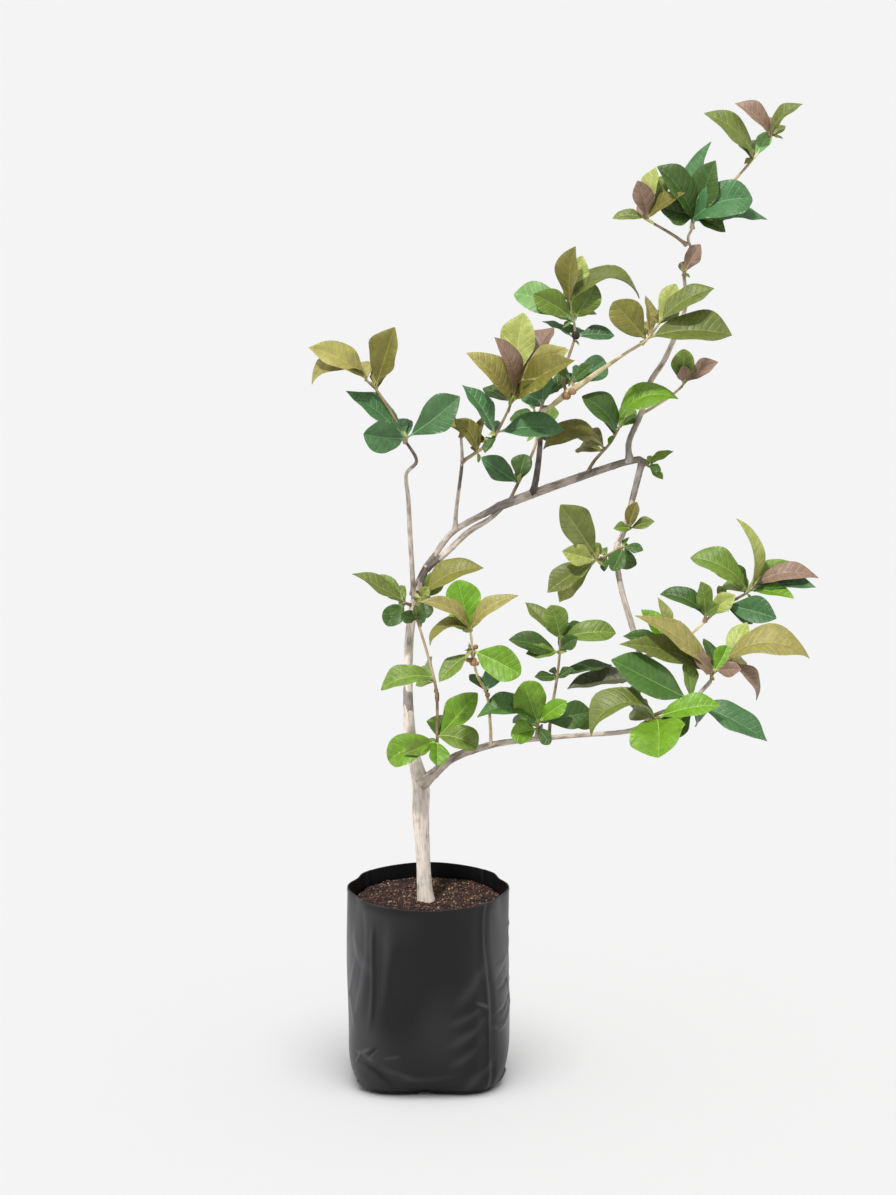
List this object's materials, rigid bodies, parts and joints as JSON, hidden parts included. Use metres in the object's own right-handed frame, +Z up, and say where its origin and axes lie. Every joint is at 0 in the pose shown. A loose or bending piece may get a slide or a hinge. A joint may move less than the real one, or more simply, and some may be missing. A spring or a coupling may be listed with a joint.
{
  "type": "potted mexican hawthorn",
  "caption": "Young leaning fruit tree with a slim pale trunk, an arching bough and loose sprays of broad pointed leaves, standing in a round black nursery bag filled with soil.",
  "frame": {"origin": "centre of the bag's flat underside, on the surface that it stands on", "axes": "+Z up, +X to the right as the picture sees the plant, +Y away from the viewer"},
  "size_m": [0.5562, 0.281, 1.0914],
  "materials": {
    "film": "satin black polythene film",
    "soil": "moist granular potting mix",
    "bark": "pale grey-beige fissured bark",
    "foliage": "satin broad leaves, dark green to lime, bronze when young"
  },
  "bodies": {
    "root": {"bag": "film", "soil": "soil", "trunk": "bark", "arch_bough": "bark", "arch_strand": "bark", "left_shoot": "bark", "leader": "bark", "hanging_bough": "bark", "front_twig": "bark", "knee_bough": "bark", "yellow_shoot": "bark", "low_bough": "bark", "far_low_shoot": "bark", "far_shoot": "bark", "top_spray": "foliage", "side_spray": "foliage", "bract_spray": "foliage", "fork_spray": "foliage", "mid_top_spray": "foliage", "middle_spray": "foliage", "knee_spray": "foliage", "shoulder_spray": "foliage", "left_tip_spray": "foliage", "left_node_spray": "foliage", "front_tip_spray": "foliage", "back_spray": "foliage", "right_twig_spray": "foliage", "right_spray": "foliage", "joint_spray": "foliage", "hanging_spray": "foliage", "hanging_side_spray": "foliage", "hanging_top_spray": "foliage", "left_heart_spray": "foliage", "right_heart_spray": "foliage", "foot_spray": "foliage", "centre_spray": "foliage", "low_mid_spray": "foliage", "right_mid_spray": "foliage", "long_leaf_spray": "foliage", "low_tip_spray": "foliage", "low_right_spray": "foliage", "right_top_spray": "foliage", "inner_spray": "foliage", "far_mid_spray": "foliage", "far_spray": "foliage"}
  },
  "joints": []
}
